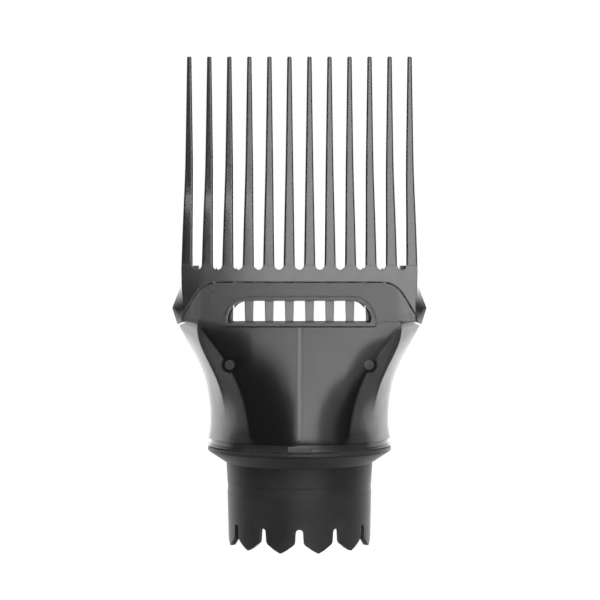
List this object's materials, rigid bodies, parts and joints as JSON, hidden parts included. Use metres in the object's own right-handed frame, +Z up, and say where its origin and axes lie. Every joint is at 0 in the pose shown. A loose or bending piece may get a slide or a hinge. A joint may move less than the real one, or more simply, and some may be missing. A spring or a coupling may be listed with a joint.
{
  "type": "hair dryer comb nozzle",
  "caption": "Comb nozzle for a hair dryer: long tapered teeth over a flattened smoke-grey funnel with a window, and a black rubber sleeve that grips the barrel.",
  "frame": {"origin": "bottom centre: on the sleeve's axis, level with the tips of the sleeve's fingers", "axes": "+X along the row of teeth, -Y the front face, +Z up from the sleeve to the tips of the teeth"},
  "size_m": [0.0888, 0.064, 0.1698],
  "materials": {
    "smoke_gloss": "glossy smoke-grey translucent plastic with crisp dark edges",
    "smoke_satin": "satin smoke-grey translucent plastic, fine moulded grain",
    "smoke_inner": "satin dark smoke plastic seen through the shells",
    "collar_plastic": "dark glossy plastic",
    "black_plastic": "black plastic spring arm",
    "screw_steel": "plain steel screw",
    "black_rubber": "matt black moulded rubber"
  },
  "bodies": {
    "nozzle": {"front_shell": "smoke_satin", "rear_shell": "smoke_satin", "front_window_bezel": "smoke_satin", "rear_window_bezel": "smoke_satin", "centre_vane": "smoke_inner", "left_air_guide": "smoke_inner", "right_air_guide": "smoke_inner", "shell_screws": "screw_steel", "neck_collar": "collar_plastic"},
    "comb_cap": {"comb": "smoke_gloss", "left_latch": "black_plastic", "right_latch": "black_plastic"},
    "sleeve": {"adapter_sleeve": "black_rubber"}
  },
  "joints": [
    {"name": "comb_pull_off", "type": "slide", "parent": "nozzle", "child": "comb_cap", "axis": [0, 0, 1], "range_m": [0, 0.03]},
    {"name": "sleeve_pull_off", "type": "slide", "parent": "nozzle", "child": "sleeve", "axis": [0, 0, -1], "range_m": [0, 0.03]}
  ]
}
